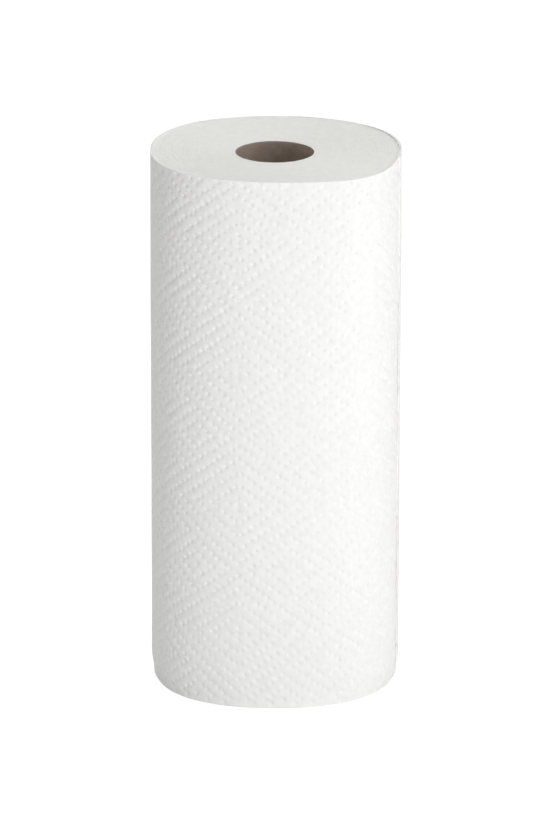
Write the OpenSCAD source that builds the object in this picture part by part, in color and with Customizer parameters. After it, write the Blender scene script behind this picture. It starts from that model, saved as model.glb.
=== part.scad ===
// Roll of kitchen paper on a cardboard core, standing on its end.
// The origin is the centre of the foot on the core's axis, and +Z is up.
// The outer layers of the sheet stand off the roll on the right, and the cut
// edge of the last one lies on the layer under it, to the right of the front.

/* [Roll] */
// Length of the roll, which is the width of the sheet
roll_l = 279.4; // [150:0.1:400]
// Diameter of the tight winding, without the loose end
roll_d = 127; // [100:0.5:180]
// How far the outermost turns stand above the upper end face
rim_h = 0.9; // [0.5:0.1:1.5]
// How far that face sinks from there to the core
dish_h = 1.3; // [0.5:0.1:4]

/* [Core] */
// Inside diameter of the cardboard core
core_bore_d = 40; // [30:0.5:50]
// Thickness of the core's cardboard
core_wall = 0.6; // [0.4:0.1:2]

/* [Turns] */
// Radial step from one turn's edge line to the next
turn_pitch = 2.4; // [2.2:0.1:8]
// Width of the line that parts two turns at an end face
turn_line_w = 0.5; // [0.3:0.05:0.7]
// Depth of that line
turn_line_h = 0.8; // [0.3:0.1:3]
// Least distance from the core to the line's inner end
turn_start_w = 0.4; // [0.4:0.1:4]

/* [Loose end] */
// Thickness of the sheet
sheet_t = 0.45; // [0.4:0.05:1]
// Widest gap between the two loose layers and the roll
tail_gap = 0.6; // [0.4:0.1:2]
// Direction of the sheet's cut edge, counted from +X towards the back
tail_edge_a = -12; // [-20:1:20]
// Angle from that edge to where the layers lie on the roll again
tail_span_a = 82; // [50:1:100]

/* [Hidden] */

// How far a cutting shape reaches past the surface it cuts. From the sunken face
// that is past the raised turns too.
cut_over = rim_h + 0.1;
// Segments in a full circle of the outer surface, the core and a turn's line
outer_fn = 120;
core_fn = 80;
turn_fn = 40;

roll_r = roll_d / 2;
core_bore_r = core_bore_d / 2;
core_r = core_bore_r + core_wall;
core_l = roll_l - rim_h - dish_h;

// The loose layers lie on a circle that is shifted off the axis. It stands off
// the roll most a third of the way back from the cut edge, and meets it as far
// to either side of there.
tail_root_a = tail_edge_a + tail_span_a;
tail_mid_a = tail_edge_a + tail_span_a / 3;
tail_half_a = tail_root_a - tail_mid_a;
tail_shift = tail_gap / (1 - cos(tail_half_a));
tail_in_r = roll_r - tail_shift * cos(tail_half_a);
// The gap ends this much short of the points where the two circles meet
tail_blunt_a = 6;
gap_root_a = tail_root_a - tail_blunt_a;
gap_front_a = 2 * tail_mid_a - gap_root_a;
// Past the loose stretch the last layer's outer face runs on until it meets the roll
tail_run_out_a = 170;

function to_hundredth(x) = round(x * 100) / 100;

// The line between the turns is a spiral of half circles. Those in front are
// centred on the axis, and those behind half a pitch towards +X. Its outer end
// runs into the gap under the loose layers. The radii are whole hundredths of a
// millimetre, so that each half circle ends exactly where the next one starts.
turn_half = turn_pitch / 2;
line_back_r = to_hundredth(roll_r - turn_half * cos(tail_root_a));
line_front_r = line_back_r - turn_half;
turn_count = floor((line_front_r - core_r - turn_start_w) / turn_pitch);
// Half width of the line's V where its cutting shape ends, above the face
line_over_w = to_hundredth(turn_line_w * (turn_line_h + cut_over) / turn_line_h / 2);

// The outermost turns stand up outside this radius, and the face inside it sinks
// evenly to the core
dish_r = line_front_r - turn_line_w;
// The second half circle behind crosses into the raised turns in this direction
cross_r = line_back_r - turn_pitch;
cross_a = acos((dish_r * dish_r - cross_r * cross_r - turn_half * turn_half) / (2 * turn_half * cross_r));
function face_z(r) = roll_l - rim_h - dish_h * (dish_r - r) / (dish_r - core_r);
function top_z(r) = r < dish_r ? face_z(r) : roll_l;

function polar(r, a) = [r * cos(a), r * sin(a)];

// Wedge about the axis between two directions, reaching well past the roll
module wedge(a_from, a_to) {
  reach = roll_d * 2;
  polygon([[0, 0], polar(reach, a_from), polar(reach, (a_from + a_to) / 2), polar(reach, a_to)]);
}

module tail_disc(r) {
  translate(polar(tail_shift, tail_mid_a)) circle(r, $fn = outer_fn);
}

// Outline of the roll seen from above, with the two loose layers and their gap
module roll_outline() {
  difference() {
    union() {
      circle(roll_r, $fn = outer_fn);
      tail_disc(tail_in_r + sheet_t);
      intersection() {
        tail_disc(tail_in_r + 2 * sheet_t);
        wedge(tail_edge_a, tail_edge_a + tail_run_out_a);
      }
    }
    intersection() {
      difference() {
        tail_disc(tail_in_r);
        circle(roll_r, $fn = outer_fn);
      }
      wedge(gap_front_a, gap_root_a);
    }
  }
}

// Arc of the V-shaped line from -X round, in a face that looks along side * Z
module line_arc(r, side, arc_a) {
  over_z = side * cut_over;
  rotate([0, 0, 180]) rotate_extrude(angle = arc_a, $fn = turn_fn)
    polygon([[r - line_over_w, over_z], [r + line_over_w, over_z], [r, -side * turn_line_h]]);
}

// The spiral line's front half circles, at the top face (side 1) or at the foot (side -1)
module front_lines(side) {
  for (k = [0 : turn_count - 1]) {
    r = line_front_r - k * turn_pitch;
    translate([0, 0, side > 0 ? top_z(r) : 0]) line_arc(r, side, 180);
  }
}

// Its half circles behind. The outermost goes only as far as the gap, and the
// next one climbs to the top of the raised turns where it crosses into them.
module back_lines(side) {
  for (k = [0 : turn_count]) {
    r = line_back_r - k * turn_pitch;
    reach_a = k == 0 ? 180 - gap_root_a : k == 1 && side > 0 ? 180 - cross_a : 180;
    translate([turn_half, 0, side > 0 ? top_z(r) : 0]) line_arc(r, side, -reach_a);
  }
  if (side > 0) translate([turn_half, 0, roll_l]) line_arc(cross_r, side, -180);
}

// Everything above the dished face
module above_dish() {
  rotate_extrude($fn = turn_fn)
    polygon([[0, face_z(0)], [dish_r, face_z(dish_r)], [dish_r, roll_l + cut_over], [0, roll_l + cut_over]]);
}

module wound_paper() {
  color("white")
    difference() {
      difference() {
        linear_extrude(roll_l) roll_outline();
        translate([0, 0, -cut_over]) cylinder(r = core_r, h = roll_l + 2 * cut_over, $fn = core_fn);
        above_dish();
        front_lines(1);
        front_lines(-1);
      }
      back_lines(1);
      back_lines(-1);
    }
}

module core_tube() {
  color("tan")
    difference() {
      cylinder(r = core_r, h = core_l, $fn = core_fn);
      translate([0, 0, -cut_over]) cylinder(r = core_bore_r, h = core_l + 2 * cut_over, $fn = core_fn);
    }
}

wound_paper();
core_tube();
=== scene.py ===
"""Looks of the kitchen roll: the embossed sheet, its turns at both ends, the core, light and camera.

Lengths are in millimetres and angles in degrees, counted from +X towards the back, until a mesh is
made. The sheet is worked out flat: along is the distance on the sheet from the middle of a large
diamond of the embossing, and up is the height above the foot. A stretch of the roll's way round is
a pair of its middle direction and its spread to either side.
"""

import bpy
import numpy as np
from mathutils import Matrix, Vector, geometry


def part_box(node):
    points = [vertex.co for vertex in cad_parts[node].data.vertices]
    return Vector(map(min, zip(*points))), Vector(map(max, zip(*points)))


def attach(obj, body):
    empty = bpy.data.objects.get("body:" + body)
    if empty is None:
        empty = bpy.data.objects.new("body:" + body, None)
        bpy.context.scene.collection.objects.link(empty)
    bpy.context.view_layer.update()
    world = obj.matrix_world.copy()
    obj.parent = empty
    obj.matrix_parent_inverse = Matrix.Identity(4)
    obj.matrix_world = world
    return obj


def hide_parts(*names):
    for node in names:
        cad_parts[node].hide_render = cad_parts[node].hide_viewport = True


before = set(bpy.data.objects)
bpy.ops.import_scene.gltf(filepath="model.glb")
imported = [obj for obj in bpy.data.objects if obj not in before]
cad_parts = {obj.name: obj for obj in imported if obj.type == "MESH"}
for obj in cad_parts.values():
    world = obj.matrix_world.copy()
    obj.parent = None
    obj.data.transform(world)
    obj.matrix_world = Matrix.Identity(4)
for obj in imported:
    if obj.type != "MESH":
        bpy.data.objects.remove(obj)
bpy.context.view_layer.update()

MM = 0.001

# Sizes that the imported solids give
paper_low, paper_high = (np.array(corner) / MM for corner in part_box("wound_paper"))
core_high = np.array(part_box("core_tube")[1]) / MM
ROLL_L = paper_high[2]
ROLL_R = -paper_low[0]
CORE_R = core_high[0]
CORE_L = core_high[2]

# Thickness of the sheet and of the core's board, and the number of turns
SHEET_T = 0.45
CORE_WALL = 0.6
TURN_COUNT = 95

# Plan of the tight winding: how much it is wider than deep and how square it
# is, and where its middle lies
PLAN_R = ROLL_R + 0.45
PLAN_OVAL = 0.45
PLAN_SQUARE = 1.0
PLAN_X = 0.2
PLAN_Y = -0.4

# It is flatter at the back right, slack at the front right, which grows with
# the height, and drawn in at both sides of the foot
FLAT = 0.5
FLAT_STRETCH = (48, 20)
SLACK = 1.6
SLACK_STRETCH = (-48, 24)
TUCK = 1.5
TUCK_UP = 12
TUCK_STRETCHES = ((-14, 30), (-166, 30))

# Loose end: where the sheet is cut, where its two outer layers lie on the roll
# again, and where the tear line crosses the back
CUT_A = -12
LANDING_A = 64
TEAR_A = 118

# The gap under those layers, at the roll's top and foot. Away from its stretch
# it has only this share of its width.
GAP_TOP = 0.34
GAP_FOOT = 0.05
GAP_STRETCH = (34, 16)
GAP_LEAST_SHARE = 0.35

# How much fluffier the loose sheet is, and how far its cut edge curls up
PUFF = 0.2
CURL = 0.06
CURL_A = 12

# The tear line's slits, and how far apart the bridges between them are
SLIT_DEPTH = 0.35
BRIDGE_STEP = 5

# Embossing: large diamonds that touch at their corners, four small ones in
# each place between them, and in all of them rings of dots about a middle dot
DOT_R = 1.15
DOT_DEPTH = 0.6
DOT_SCATTER = 0.07
PILLOW = 0.02
RING_W = 9.3
RING_H = 6.95
DIAMOND_RINGS = 10
LARGE_INTERVALS = (1, 4.5, 7.5, 10, 14)
SMALL_INTERVALS = (3, 6)
EMBOSS_A = 253.2
EMBOSS_UP = 178.35

# Upper end: the sheet's edge lies a little under the solids' top, highest at
# the loose end, and the face lies FACE_DROP under that top
RIM_DROP = 0.1
RIM_LOWER = 0.35
RIM_HIGH_STRETCH = (12, 36)
RIM_DIP = 0.25
RIM_DIP_STRETCH = (52, 20)
FACE_DROP = 0.95

# At the front right both are pressed down, the face up to this far from its edge
PRESSED = 1.5
PRESSED_STRETCH = (-42, 26)
PRESSED_W = 14

# The outermost turns climb to the rim over this distance, from this far inside
# it, but hardly where the outer layers are loose
CLIMB_START_W = 0.5
CLIMB_W = 0.9
CLIMB_SHORT = 0.05
CLIMB_LOOSE_SHARE = 0.15

# A turn's edge at an end face: the depth of its groove, how far its blunt crest
# sways sideways, how unevenly it stands up, and its height above the floor
GROOVE_DEPTH = 0.11
CREST_SWAY = 0.015
CREST_FRAY = 0.015
CREST_BANDS = 0.02
FOOT_CLEAR = 0.12


# Shape of the roll


def smooth(x):
    """From 0 to 1 with level ends, as x goes from 0 to 1."""
    x = np.clip(x, 0, 1)
    return x * x * (3 - 2 * x)


def ripple(x, y, wavelength, seed, count=14):
    """Even noise of about unit strength: plane waves in random directions."""
    rng = np.random.default_rng(seed)
    total = 0
    for turn, phase, pace in rng.uniform(0, 1, (count, 3)):
        k = 2 * np.pi / wavelength * (0.7 + 0.7 * pace)
        turn, phase = 2 * np.pi * turn, 2 * np.pi * phase
        total = total + np.sin(k * (x * np.cos(turn) + y * np.sin(turn)) + phase)
    return total / np.sqrt(count / 2)


def hump(a, stretch):
    """Bell curve round the roll, 1 in the stretch's middle direction."""
    middle_a, spread_a = stretch
    return np.exp(-(((a - middle_a + 180) % 360 - 180) / spread_a) ** 2)


def outline_r(a, up):
    """Radius of the tight winding."""
    rad = np.radians(a)
    oval = PLAN_OVAL * np.cos(2 * rad) - PLAN_SQUARE * np.cos(4 * rad)
    shift = PLAN_X * np.cos(rad) + PLAN_Y * np.sin(rad)
    slack = SLACK * hump(a, SLACK_STRETCH) * smooth(up / ROLL_L)
    tucked = TUCK * sum(hump(a, side) for side in TUCK_STRETCHES) * (1 - smooth(up / TUCK_UP))
    return PLAN_R + oval + shift - FLAT * hump(a, FLAT_STRETCH) + slack - tucked


def looseness(a):
    """How loose the two outer layers are: most a third of the way back from the cut edge."""
    a = (a + 180) % 360 - 180
    middle_a = CUT_A + (LANDING_A - CUT_A) / 3
    across = (a - middle_a) / (LANDING_A - middle_a)
    return np.cos(np.pi / 2 * np.clip(across, -1, 1)) ** 2


def loose_gap(a, up):
    """The gap under them, which is widest nearer to where they lie on the roll again."""
    widest = GAP_FOOT + (GAP_TOP - GAP_FOOT) * smooth(up / ROLL_L)
    share = GAP_LEAST_SHARE + (1 - GAP_LEAST_SHARE) * hump(a, GAP_STRETCH)
    return widest * looseness(a) * share


def loose_puff(a, up):
    """How much fluffier the sheet is where it is loose."""
    return PUFF * looseness(a) * smooth(up / ROLL_L)


def sheet_t(a, up):
    return SHEET_T + loose_puff(a, up)


def settling(a):
    """From 1 where the outermost layer lies on the next one to 0 where it becomes that one."""
    return 1 - smooth((a - LANDING_A) / (TEAR_A - LANDING_A))


def next_r(a, up):
    """Outer face of the stretch before the last one, which ends under it, a layer further in."""
    under = SHEET_T * (1 - settling(a - 360)) * (a > 360)
    return outline_r(a, up) + loose_gap(a, up) + loose_puff(a, up) - under


def end_r(a, up):
    """Outer face of the last stretch, from the cut edge to the tear line."""
    curl = CURL * np.exp(-(a - CUT_A) / CURL_A)
    return next_r(a, up) + sheet_t(a, up) * settling(a) + curl


def winding_r(a, up):
    """Outer face of the winding under the gap."""
    return outline_r(a, up) - SHEET_T - 0.03


def pressed(a):
    return PRESSED * hump(a, PRESSED_STRETCH)


def rim_up(a):
    """Height of the sheet's upper edge."""
    lower = RIM_LOWER * (1 - hump(a, RIM_HIGH_STRETCH)) + RIM_DIP * hump(a, RIM_DIP_STRETCH)
    return ROLL_L - RIM_DROP - lower - pressed(a) + 0.04 * ripple(a, 0 * a, 40, 5)


def face_up(r, a):
    """Height of the upper end face, which sinks from the rim to the core."""
    inside = outline_r(a, ROLL_L) - SHEET_T - r
    level = ROLL_L - FACE_DROP
    high = rim_up(a) + pressed(a) - CLIMB_SHORT - level
    climb = high * (1 - (1 - CLIMB_LOOSE_SHARE) * looseness(a))
    sunk = (level - CORE_L) * np.clip(inside / (inside + r - CORE_R), 0, 1)
    down = pressed(a) * (1 - smooth(inside / PRESSED_W))
    return level - down + climb * (1 - smooth((inside - CLIMB_START_W) / CLIMB_W)) - sunk


# Places of the embossing's dots


def diamond_ring(half_w, half_h, intervals):
    """Dots on a diamond's sides, evenly spaced from its left and right corners."""
    share = np.arange(0, intervals + 1e-6) / intervals
    x, y = half_w * (1 - share), half_h * share
    sides = [np.stack([sx * x, sy * y], 1) for sx in (1, -1) for sy in (1, -1)]
    return np.unique(np.round(np.concatenate(sides), 6), axis=0)


def diamond(intervals, first):
    """A middle dot and the rings about it, of which the first is that many steps out."""
    rings = [diamond_ring((first + n) * RING_W, (first + n) * RING_H, i) for n, i in enumerate(intervals)]
    return np.concatenate([np.zeros((1, 2)), *rings])


def emboss_dots(along_low, along_high):
    """Centres of the dots in the flat sheet, up to whole dots at its upper and lower edge."""
    width, height = DIAMOND_RINGS * RING_W, DIAMOND_RINGS * RING_H
    large = diamond(LARGE_INTERVALS, 0.5)
    small = diamond(SMALL_INTERVALS, 1)
    middles = [(0.25, 0.5), (0.75, 0.5), (0.5, 0.25), (0.5, 0.75)]
    repeat = np.concatenate([large, *(small + (x * width, y * height) for x, y in middles)])
    columns = range(int(along_low // width) - 1, int(along_high // width) + 2)
    rows = range(-4, 4)
    dots = np.concatenate([repeat + (i * width, j * height + EMBOSS_UP) for i in columns for j in rows])
    inside = (dots[:, 0] > along_low) & (dots[:, 0] < along_high)
    return dots[inside & (dots[:, 1] > DOT_R) & (dots[:, 1] < ROLL_L - DOT_R)]


def ring(centres, r, count, turn=0):
    """That many points on a circle about each centre."""
    a = np.radians(turn) + 2 * np.pi * np.arange(count) / count
    offsets = np.stack([r * np.cos(a), r * np.sin(a)], 1)
    return (centres[:, None, :] + offsets[None, :, :]).reshape(-1, 2)


def nearest(points, dots, reach):
    """Distance from each point to its nearest dot, or reach where none is nearer."""
    dots_of, points_of = {}, {}
    for i, cell in enumerate(map(tuple, np.floor(dots / reach).astype(int))):
        dots_of.setdefault(cell, []).append(i)
    for i, cell in enumerate(map(tuple, np.floor(points / reach).astype(int))):
        points_of.setdefault(cell, []).append(i)
    found = np.full(len(points), float(reach))
    for (cx, cy), members in points_of.items():
        close = [i for dx in (-1, 0, 1) for dy in (-1, 0, 1) for i in dots_of.get((cx + dx, cy + dy), ())]
        if close:
            gaps = np.linalg.norm(points[members][:, None] - dots[close][None], axis=2).min(1)
            found[members] = np.minimum(gaps, reach)
    return found


# Meshes


def flat_mesh(low, high, edge_step, fill_step, marks):
    """Triangles over a rectangle, through its edge points, the marks and an even filling."""
    (x0, y0), (x1, y1) = low, high
    nx, ny = round((x1 - x0) / edge_step), round((y1 - y0) / edge_step)
    xs, ys = np.linspace(x0, x1, nx + 1), np.linspace(y0, y1, ny + 1)
    edge = np.concatenate([
        np.stack([xs[:-1], 0 * xs[:-1] + y0], 1),
        np.stack([0 * ys[:-1] + x1, ys[:-1]], 1),
        np.stack([xs[:0:-1], 0 * xs[:0:-1] + y1], 1),
        np.stack([0 * ys[:0:-1] + x0, ys[:0:-1]], 1),
    ])
    margin = edge_step * 0.45

    def clear_of_edge(points):
        past_low = (points > [x0 + margin, y0 + margin]).all(1)
        short_of_high = (points < [x1 - margin, y1 - margin]).all(1)
        return points[past_low & short_of_high]

    fill = np.stack(np.meshgrid(np.arange(x0, x1, fill_step), np.arange(y0, y1, fill_step * 0.87)), 2)
    fill[1::2, :, 0] += fill_step / 2
    fill = clear_of_edge(fill.reshape(-1, 2))
    if len(marks):
        marks = clear_of_edge(marks)
        fill = fill[nearest(fill, marks, fill_step * 0.6) >= fill_step * 0.6]
    points = np.concatenate([edge, marks, fill])
    border = [(i, (i + 1) % len(edge)) for i in range(len(edge))]
    made = geometry.delaunay_2d_cdt([Vector(p) for p in points], border, [], 1, 1e-5)
    if len(made[0]) != len(points):
        raise ValueError("two points of a flat mesh coincide")
    return np.array([tuple(p) for p in made[0]]), np.array(made[2]), len(edge)


def new_piece(name, points, faces, flats, material, node):
    """Mesh object from points in millimetres, with flat coordinates kept as a UV map."""
    mesh = bpy.data.meshes.new(name)
    mesh.from_pydata((np.asarray(points) * MM).tolist(), [], [list(map(int, f)) for f in faces])
    mesh.polygons.foreach_set("use_smooth", np.ones(len(mesh.polygons), bool))
    loops = np.empty(len(mesh.loops), int)
    mesh.loops.foreach_get("vertex_index", loops)
    layer = mesh.uv_layers.new(name="flat")
    layer.data.foreach_set("uv", (np.asarray(flats)[loops] * MM).ravel())
    mesh.materials.append(material)
    mesh.update()
    piece = bpy.data.objects.new(name, mesh)
    bpy.context.scene.collection.objects.link(piece)
    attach(piece, "root")
    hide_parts(node)
    return piece


def mark_sharp(piece, pairs):
    """Keeps a sheet's edges crisp under smooth shading."""
    sharp = {tuple(sorted(pair)) for pair in pairs}
    for edge in piece.data.edges:
        edge.use_edge_sharp = tuple(sorted(edge.vertices)) in sharp


# Materials


def node_tree(material):
    material.use_nodes = True
    tree = material.node_tree
    tree.nodes.clear()
    output = tree.nodes.new("ShaderNodeOutputMaterial")
    shader = tree.nodes.new("ShaderNodeBsdfPrincipled")
    tree.links.new(shader.outputs["BSDF"], output.inputs["Surface"])
    return tree, shader


def noise(tree, coordinates, stretch, scale, detail=3, roughness=0.6, distortion=0.0):
    mapping = tree.nodes.new("ShaderNodeMapping")
    mapping.inputs["Scale"].default_value = stretch
    tree.links.new(coordinates, mapping.inputs["Vector"])
    texture = tree.nodes.new("ShaderNodeTexNoise")
    texture.inputs["Scale"].default_value = scale
    texture.inputs["Detail"].default_value = detail
    texture.inputs["Roughness"].default_value = roughness
    texture.inputs["Distortion"].default_value = distortion
    tree.links.new(mapping.outputs["Vector"], texture.inputs["Vector"])
    return texture.outputs["Fac"]


def calculate(tree, operation, a, b):
    """A sum, product or the like of two values, each a number or a socket."""
    node = tree.nodes.new("ShaderNodeMath")
    node.operation = operation
    for socket, value in zip(node.inputs, (a, b)):
        if isinstance(value, (int, float)):
            socket.default_value = value
        else:
            tree.links.new(value, socket)
    return node.outputs["Value"]


def weighted(tree, first, share, second):
    """Mean of two values, in which the first has the given share."""
    return calculate(tree, "ADD", calculate(tree, "MULTIPLY", first, share),
                     calculate(tree, "MULTIPLY", second, 1 - share))


def ramp(tree, factor, stops):
    node = tree.nodes.new("ShaderNodeValToRGB")
    for element, (position, colour) in zip(node.color_ramp.elements, stops):
        element.position = position
        element.color = (*colour, 1)
    tree.links.new(factor, node.inputs["Fac"])
    return node.outputs["Color"]


def bump(tree, height, distance, strength, normal=None):
    node = tree.nodes.new("ShaderNodeBump")
    node.inputs["Distance"].default_value = distance
    node.inputs["Strength"].default_value = strength
    tree.links.new(height, node.inputs["Height"])
    if normal is not None:
        tree.links.new(normal, node.inputs["Normal"])
    return node.outputs["Normal"]


def paper_material(name, light, dark, crepe):
    """Soft matt paper: fibre grain, faint upright crepe lines and cloudy thickness."""
    material = bpy.data.materials.new(name)
    tree, shader = node_tree(material)
    place = tree.nodes.new("ShaderNodeTexCoord").outputs["Object"]
    clouds = noise(tree, place, (1, 1, 1), 260, 4, 0.6)
    fibres = noise(tree, place, (1, 1, 0.55), 2400, 4, 0.7, 0.8)
    creases = noise(tree, place, (1, 1, 0.12), 1500, 2, 0.5, 0.2)
    tint = weighted(tree, clouds, 0.6, fibres)
    tree.links.new(ramp(tree, tint, [(0.32, dark), (0.62, light)]), shader.inputs["Base Color"])
    normal = bump(tree, creases, 0.0003, crepe)
    normal = bump(tree, fibres, 0.00012, 0.55, normal)
    tree.links.new(normal, shader.inputs["Normal"])
    shader.inputs["Roughness"].default_value = 0.95
    shader.inputs["Specular IOR Level"].default_value = 0.15
    shader.inputs["Sheen Weight"].default_value = 0.06
    shader.inputs["Sheen Roughness"].default_value = 0.6
    return material


def board_material():
    """Grey-brown recycled board, with flecks and a grain that follows the plies."""
    material = bpy.data.materials.new("core_board")
    tree, shader = node_tree(material)
    place = tree.nodes.new("ShaderNodeTexCoord").outputs["UV"]
    mottle = noise(tree, place, (1, 1, 1), 180, 4, 0.65)
    grain = noise(tree, place, (0.35, 1, 1), 1500, 4, 0.7, 0.5)
    flecks = noise(tree, place, (0.6, 1, 1), 3200, 2, 0.5, 0.3)
    tint = weighted(tree, mottle, 0.45, grain)
    base = ramp(tree, tint, [(0.3, (0.365, 0.292, 0.24)), (0.7, (0.53, 0.438, 0.37))])
    spots = ramp(tree, flecks, [(0.3, (0.55, 0.55, 0.55)), (0.4, (1, 1, 1))])
    mix = tree.nodes.new("ShaderNodeMix")
    mix.data_type, mix.blend_type = "RGBA", "MULTIPLY"
    mix.inputs["Factor"].default_value = 0.7
    tree.links.new(base, mix.inputs["A"])
    tree.links.new(spots, mix.inputs["B"])
    tree.links.new(mix.outputs["Result"], shader.inputs["Base Color"])
    tree.links.new(bump(tree, grain, 0.00015, 0.6), shader.inputs["Normal"])
    shader.inputs["Roughness"].default_value = 0.9
    shader.inputs["Specular IOR Level"].default_value = 0.2
    return material


SHEET_WHITE = paper_material("embossed_sheet", (0.9, 0.9, 0.885), (0.84, 0.84, 0.825), 0.25)
EDGE_WHITE = paper_material("cut_edges", (0.905, 0.905, 0.88), (0.85, 0.85, 0.825), 0.1)
BOARD = board_material()


# Sheet


def along_at(a):
    return np.radians(a - EMBOSS_A) * ROLL_R


def laid_round(points, outer_r, depth):
    """Flat points laid round the roll, the given depth under an outer face."""
    a = EMBOSS_A + np.degrees(points[:, 0] / ROLL_R)
    up = points[:, 1] / ROLL_L * rim_up(a)
    rad = np.radians(a)
    r = outer_r(a, up) - depth
    return np.stack([r * np.cos(rad), r * np.sin(rad), up], 1)


def tear_slits(points):
    """Depth of the tear line's slits at flat points, 0 on its bridges and beside it."""
    at_line = abs(points[:, 0] - along_at(TEAR_A)) < 0.01
    bridge = np.round(points[:, 1]) % BRIDGE_STEP == 0
    return SLIT_DEPTH * (at_line & ~bridge)


def embossed_sheet(name, from_a, to_a, outer_r, dots_to_a):
    """One stretch of the sheet as a closed solid, dented outside, plain inside and round on top."""
    low, high = (along_at(from_a), 0), (along_at(to_a), ROLL_L)
    dots = emboss_dots(along_at(from_a) - 2, along_at(dots_to_a))
    rng = np.random.default_rng(11)
    dots = dots + rng.normal(0, DOT_SCATTER, dots.shape)
    marks = np.concatenate([dots, ring(dots, DOT_R * 0.5, 7), ring(dots, DOT_R, 10, 18)])
    outer, outer_faces, edge_count = flat_mesh(low, high, 1.0, 1.9, marks)
    inner, inner_faces, _ = flat_mesh(low, high, 1.0, 5.0, np.empty((0, 2)))

    gap = nearest(outer, dots, 4.0)
    dent = DOT_DEPTH * (1 - smooth((gap / DOT_R - 0.15) / 0.85))
    pillow = PILLOW * smooth((gap - DOT_R) / 2)
    waves = 0.05 * ripple(outer[:, 0], outer[:, 1] * 0.4, 28, 3)
    outside = laid_round(outer, outer_r, dent - pillow - waves + tear_slits(outer))
    inside = laid_round(inner, lambda a, up: outer_r(a, up) - sheet_t(a, up), 0)

    # The edge loops of both faces match, and the middle loop between them crowns the upper edge
    crest = (outside[:edge_count] + inside[:edge_count]) / 2
    crest[:, 2] += 0.06 * (outer[:edge_count, 1] > ROLL_L - 0.01)
    points = np.concatenate([outside, inside, crest])
    flats = np.concatenate([outer, inner, outer[:edge_count]])
    loop = np.arange(edge_count)
    after = (loop + 1) % edge_count
    start, middle = len(outer), len(outer) + len(inner)
    edges = [np.stack([loop, loop + middle, after + middle, after], 1),
             np.stack([loop + middle, loop + start, after + start, after + middle], 1)]
    faces = [*outer_faces, *(inner_faces[:, ::-1] + start), *np.concatenate(edges)]
    piece = new_piece(name, points, faces, flats, SHEET_WHITE, "wound_paper")
    mark_sharp(piece, [*zip(loop, after), *zip(loop + start, after + start)])


def gap_wall(from_a, to_a):
    """The plain layer that closes the winding under the loose ones."""
    columns = np.arange(from_a, to_a + 1, 1.5)
    shares = np.linspace(0.001, 1, 40)
    a, share = np.meshgrid(columns, shares)
    up = share * (face_up(winding_r(a, ROLL_L), a) - 0.12)
    r, rad = winding_r(a, up), np.radians(a)
    points = np.stack([r * np.cos(rad), r * np.sin(rad), up], 2).reshape(-1, 3)
    flats = np.stack([rad * ROLL_R, up], 2).reshape(-1, 2)
    count = len(columns)
    corner = (np.arange(len(shares) - 1)[:, None] * count + np.arange(count - 1)).ravel()
    faces = np.stack([corner, corner + 1, corner + count + 1, corner + count], 1)
    new_piece("gap_wall", points, faces, flats, SHEET_WHITE, "wound_paper")


# Turns at the two end faces


def end_turns(name, top, segments, seed):
    """The sheet's edge wound to the core: a groove and a blunt crest for each turn.

    It starts a turn early, within the outermost layer, so that the face has no gap there.
    """
    steps = np.arange(-segments, TURN_COUNT * segments + 1)
    wound = steps / segments
    a = CUT_A + 360 * wound
    rad = np.radians(a)
    edge_r = outline_r(a, ROLL_L if top else 0) - SHEET_T

    def r_at(turns):
        return edge_r - (edge_r - CORE_R) * np.maximum(turns, turns * 0.1) / TURN_COUNT

    arc = wound * 2 * np.pi * r_at(wound)
    across = np.cos(rad) * edge_r * (1 - wound / TURN_COUNT)
    sway = CREST_SWAY * ripple(across, arc * 0.02, 9, seed)
    fray = np.random.default_rng(seed).normal(0, CREST_FRAY, (3, len(steps)))
    bands = ripple(wound * 6, 0 * wound, 18, seed + 1) + ripple(wound, arc * 0.04, 3, seed + 2)
    rows = []
    for row, share in enumerate((0, 0.3, 0.7)):
        on_crest = row > 0
        r = r_at(np.minimum(wound + share, TURN_COUNT)) + on_crest * sway
        above = CREST_BANDS * bands + fray[row] if on_crest else -GROOVE_DEPTH + 0 * a
        up = face_up(r, a) + above if top else np.maximum(FOOT_CLEAR - above, 0)
        rows.append(np.stack([r * np.cos(rad), r * np.sin(rad), up], 1))

    # The last ring closes the face at the core, at the top over the board's edge
    last_rad = rad[-segments - 1:]
    last_r = CORE_R - 0.9 * CORE_WALL if top else CORE_R
    last_up = CORE_L + 0.05 if top else 0.1
    last = np.stack([last_r * np.cos(last_rad), last_r * np.sin(last_rad), 0 * last_rad + last_up], 1)
    points = np.concatenate([*rows, last])

    # A turn's inner side joins the next turn's groove, or that ring
    count = len(steps)
    i = np.arange(count - 1)
    inner = np.arange(segments, segments + count)
    inner[inner >= count] += 2 * count
    faces = np.concatenate([
        np.stack([i, i + 1, i + 1 + count, i + count], 1),
        np.stack([i + count, i + 1 + count, i + 1 + 2 * count, i + 2 * count], 1),
        np.stack([i + 2 * count, i + 1 + 2 * count, inner[1:], inner[:-1]], 1),
    ])
    if top:
        faces = faces[:, ::-1]
    new_piece(name, points, faces, points[:, :2], EDGE_WHITE, "wound_paper")


# Core


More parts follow.
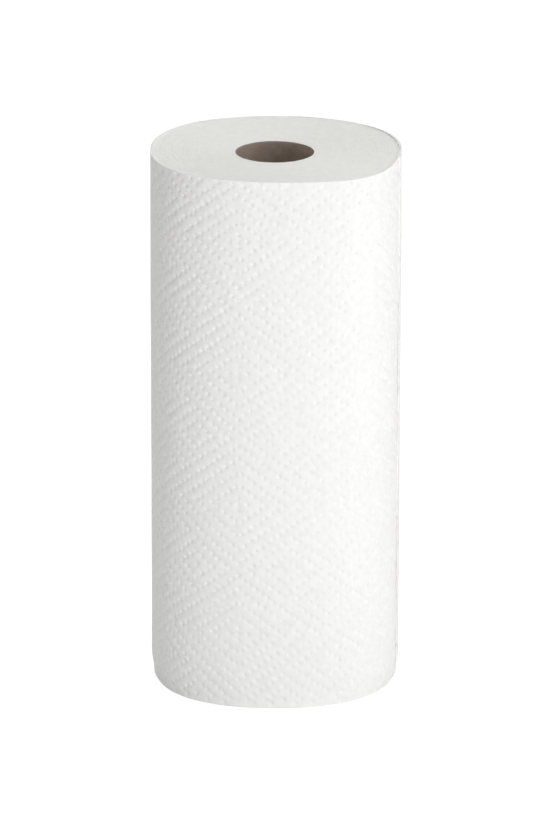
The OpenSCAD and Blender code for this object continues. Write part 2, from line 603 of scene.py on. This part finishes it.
def core_board():
    """Tube of wound board, with the seam of its inner ply as a shallow helical step.

    The flat coordinates are turned by 20 degrees, so that the board's grain follows the plies.
    """
    bore_r = CORE_R - CORE_WALL
    lead = 118
    count = 180
    top = CORE_L - 0.08
    ups = np.concatenate([[0], np.arange(0.4, top - 0.4, 1.6), [top - 0.4, top]])
    a = 2 * np.pi * np.arange(count) / count
    turned = a * CORE_R
    inside, outside, flats = [], [], []
    for up in ups:
        seam = ((up / lead - a / (2 * np.pi)) % 1) * lead
        r = bore_r + 0.12 * smooth(seam / 1.2) * smooth((lead - seam) / 40)
        wear = 0.05 * ripple(a * bore_r, 0 * a + up, 7, 41) * (up > CORE_L - 1)
        inside.append(np.stack([r * np.cos(a), r * np.sin(a), 0 * a + up - abs(wear)], 1))
        outside.append(np.stack([CORE_R * np.cos(a), CORE_R * np.sin(a), 0 * a + up], 1))
        flats.append(np.stack([turned * 0.94 + up * 0.34, up * 0.94 - turned * 0.34], 1))
    points = np.concatenate(inside + outside)
    flats = np.concatenate(flats + flats)
    half = len(ups) * count
    faces = []
    for low in range(0, half - count, count):
        high = low + count
        for i in range(count):
            j = (i + 1) % count
            faces.append((low + i, high + i, high + j, low + j))
            faces.append((half + low + i, half + low + j, half + high + j, half + high + i))
    for low, upper_end in ((0, False), (half - count, True)):
        for i in range(count):
            j = (i + 1) % count
            quad = (low + i, low + j, half + low + j, half + low + i)
            faces.append(quad[::-1] if upper_end else quad)
    new_piece("core_board", points, faces, flats, BOARD, "core_tube")


embossed_sheet("sheet_end", CUT_A, TEAR_A, end_r, TEAR_A)
embossed_sheet("sheet_next", TEAR_A, TEAR_A + 360, next_r, CUT_A + 385)
gap_wall(-45, 75)
end_turns("end_turns_top", True, 240, 21)
end_turns("end_turns_foot", False, 160, 31)
core_board()


# Floor, light and camera


def seen_directly(tree):
    """1 for what the camera and mirror-like surfaces see, 0 for what lights the scene."""
    path = tree.nodes.new("ShaderNodeLightPath")
    seen = path.outputs["Is Camera Ray"]
    for other in ("Is Glossy Ray", "Is Transmission Ray"):
        seen = calculate(tree, "MAXIMUM", seen, path.outputs[other])
    return seen


def camera_white(material, share, strength):
    """Adds an even glow to what is seen directly of a material."""
    tree = material.node_tree
    shader = next(n for n in tree.nodes if n.type == "BSDF_PRINCIPLED")
    output = next(n for n in tree.nodes if n.type == "OUTPUT_MATERIAL")
    glow = tree.nodes.new("ShaderNodeEmission")
    glow.inputs["Strength"].default_value = strength
    partly = tree.nodes.new("ShaderNodeMixShader")
    partly.inputs["Fac"].default_value = share
    tree.links.new(shader.outputs["BSDF"], partly.inputs[1])
    tree.links.new(glow.outputs["Emission"], partly.inputs[2])
    final = tree.nodes.new("ShaderNodeMixShader")
    tree.links.new(seen_directly(tree), final.inputs["Fac"])
    tree.links.new(shader.outputs["BSDF"], final.inputs[1])
    tree.links.new(partly.outputs["Shader"], final.inputs[2])
    tree.links.new(final.outputs["Shader"], output.inputs["Surface"])


def lay_floor():
    material = bpy.data.materials.new("floor_white")
    tree, shader = node_tree(material)
    shader.inputs["Base Color"].default_value = (0.8, 0.8, 0.79, 1)
    shader.inputs["Roughness"].default_value = 0.9
    shader.inputs["Specular IOR Level"].default_value = 0.0
    camera_white(material, 0.75, 1.25)
    mesh = bpy.data.meshes.new("floor")
    mesh.from_pydata([(-30, -30, 0), (30, -30, 0), (30, 30, 0), (-30, 30, 0)], [], [(0, 1, 2, 3)])
    mesh.materials.append(material)
    floor = bpy.data.objects.new("floor", mesh)
    bpy.context.scene.collection.objects.link(floor)


def light_world(strength):
    """Even light from all round, which the camera sees as plain white."""
    world = bpy.data.worlds.new("studio")
    bpy.context.scene.world = world
    world.use_nodes = True
    tree = world.node_tree
    tree.nodes.clear()
    output = tree.nodes.new("ShaderNodeOutputWorld")
    soft, white = (tree.nodes.new("ShaderNodeBackground") for _ in range(2))
    soft.inputs["Color"].default_value = (1, 1, 1, 1)
    soft.inputs["Strength"].default_value = strength
    white.inputs["Color"].default_value = (1, 1, 1, 1)
    white.inputs["Strength"].default_value = 1
    mix = tree.nodes.new("ShaderNodeMixShader")
    tree.links.new(seen_directly(tree), mix.inputs["Fac"])
    tree.links.new(soft.outputs["Background"], mix.inputs[1])
    tree.links.new(white.outputs["Background"], mix.inputs[2])
    tree.links.new(mix.outputs["Shader"], output.inputs["Surface"])


def add_lamp(name, azimuth, elevation, distance, width, height, level, aim_up):
    """Soft box in metres. At level 1 it alone shows a white surface that faces it as white."""
    a, e = np.radians(azimuth), np.radians(elevation)
    target = Vector((0, 0, aim_up))
    place = target + distance * Vector((np.cos(a) * np.cos(e), np.sin(a) * np.cos(e), np.sin(e)))
    lamp = bpy.data.lights.new(name, "AREA")
    lamp.shape, lamp.size, lamp.size_y = "RECTANGLE", width, height
    lamp.energy = level * np.pi ** 2 * distance ** 2
    lamp_object = bpy.data.objects.new(name, lamp)
    lamp_object.location = place
    lamp_object.rotation_mode = "QUATERNION"
    lamp_object.rotation_quaternion = (target - place).to_track_quat("-Z", "Y")
    bpy.context.scene.collection.objects.link(lamp_object)


def add_camera():
    """Long lens from 4 m away and a little above, fitted to the photograph."""
    camera = bpy.data.cameras.new("camera")
    camera.lens = 366.1
    camera.sensor_width = 36
    camera_object = bpy.data.objects.new("camera", camera)
    camera_object.location = (-0.0011, -4.0997, 1.4327)
    camera_object.rotation_euler = (np.radians(90 - 17.52), np.radians(-0.06), 0)
    bpy.context.scene.collection.objects.link(camera_object)
    bpy.context.scene.camera = camera_object


lay_floor()
light_world(0.38)
add_lamp("right_key", -30, 22, 1.5, 0.3, 0.3, 0.12, 0.25)
add_lamp("right_fill", 8, 22, 1.5, 0.4, 0.4, 0.14, 0.25)
add_lamp("front_right", -66, 3, 1.3, 0.4, 0.3, 0.4, 0.14)
add_lamp("left_low", 205, 5, 1.5, 0.5, 0.3, 0.11, 0.22)
add_lamp("top_light", 95, 70, 2.0, 0.8, 0.8, 0.42, 0.28)
add_camera()
bpy.context.scene.view_settings.view_transform = "Standard"
